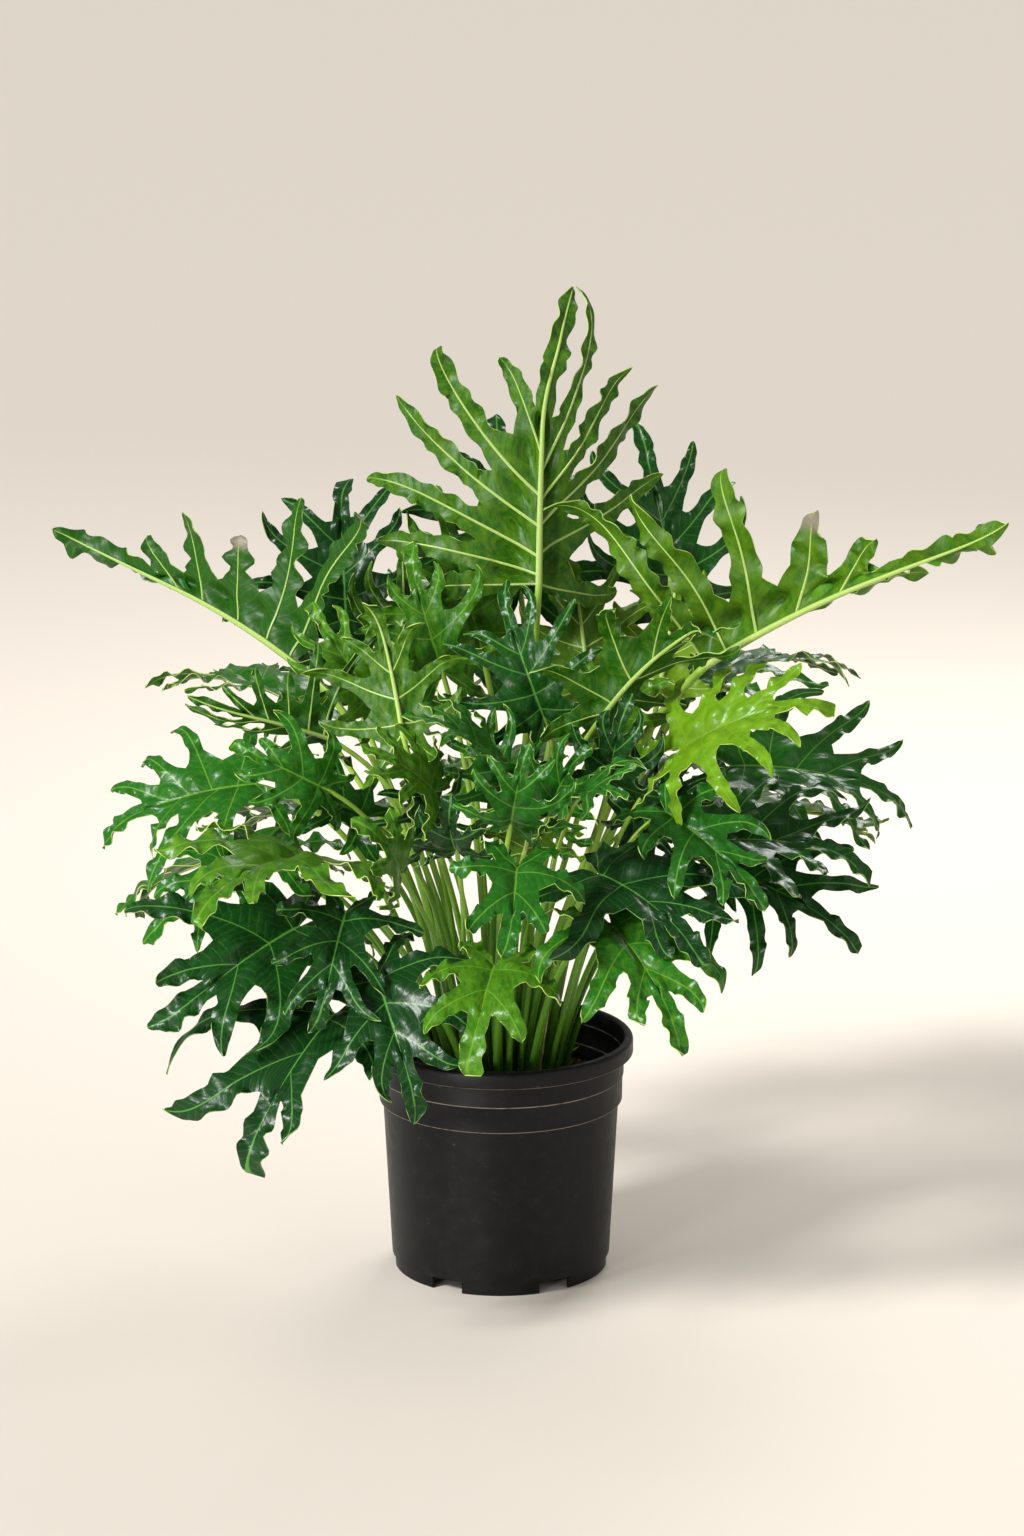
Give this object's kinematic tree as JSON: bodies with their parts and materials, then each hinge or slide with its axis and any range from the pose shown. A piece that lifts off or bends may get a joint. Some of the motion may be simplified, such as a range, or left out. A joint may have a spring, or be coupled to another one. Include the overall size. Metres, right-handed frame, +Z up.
{
  "type": "potted split-leaf philodendron",
  "caption": "Leafy house plant in a round black nursery pot: long petioles fan out from the soil and carry deeply cut, wavy blades with curled lobes.",
  "frame": {"origin": "centre of the pot's base, on the surface that the pot stands on", "axes": "+Z up; -Y towards the viewer of the picture, +X to the viewer's right"},
  "size_m": [0.888, 0.7243, 0.9416],
  "materials": {
    "green_leaf": "satin",
    "dark_leaf": "satin",
    "young_leaf": "satin",
    "dry_sheath": "matte",
    "black_plastic": "satin",
    "potting_mix": "matte"
  },
  "bodies": {
    "root": {"leaf_crown": "green_leaf", "leaf_long_left": "green_leaf", "leaf_long_right": "green_leaf", "leaf_second_left": "green_leaf", "leaf_inner_left": "green_leaf", "leaf_inner_right": "green_leaf", "leaf_lime_right": "young_leaf", "leaf_mid_right": "green_leaf", "leaf_low_right": "dark_leaf", "leaf_lower_right": "dark_leaf", "leaf_light_right": "green_leaf", "leaf_gloss_right": "dark_leaf", "leaf_hang_right": "green_leaf", "leaf_open_left": "green_leaf", "leaf_gloss_left": "green_leaf", "leaf_under_left": "dark_leaf", "leaf_pale_left": "green_leaf", "leaf_drop_left": "dark_leaf", "leaf_low_left": "dark_leaf", "leaf_by_pot": "dark_leaf", "leaf_star_front": "green_leaf", "leaf_small_front": "green_leaf", "leaf_centre_dark": "dark_leaf", "leaf_centre_fold": "green_leaf", "leaf_centre_curl": "young_leaf", "leaf_curl_right": "young_leaf", "leaf_upright_left": "green_leaf", "leaf_dark_left": "dark_leaf", "leaf_dark_right": "dark_leaf", "leaf_upper_gloss": "green_leaf", "leaf_wavy_left": "green_leaf", "leaf_wavy_right": "dark_leaf", "leaf_behind_star": "dark_leaf", "leaf_wavy_centre": "green_leaf", "leaf_curl_front": "green_leaf", "leaf_fill_left": "green_leaf", "leaf_fill_top": "green_leaf", "leaf_heart_1": "dark_leaf", "leaf_heart_2": "green_leaf", "leaf_heart_3": "dark_leaf", "leaf_heart_4": "green_leaf", "leaf_heart_5": "green_leaf", "leaf_heart_6": "green_leaf", "leaf_heart_7": "young_leaf", "leaf_heart_8": "green_leaf", "leaf_heart_9": "young_leaf", "leaf_back_1": "green_leaf", "leaf_back_2": "green_leaf", "leaf_back_3": "green_leaf", "leaf_back_4": "green_leaf", "leaf_back_5": "green_leaf", "leaf_back_6": "dark_leaf", "leaf_back_7": "green_leaf", "leaf_back_8": "dark_leaf", "leaf_back_9": "green_leaf", "leaf_back_10": "dark_leaf", "dried_sheath": "dry_sheath", "nursery_pot": "black_plastic", "soil": "potting_mix"}
  },
  "joints": []
}
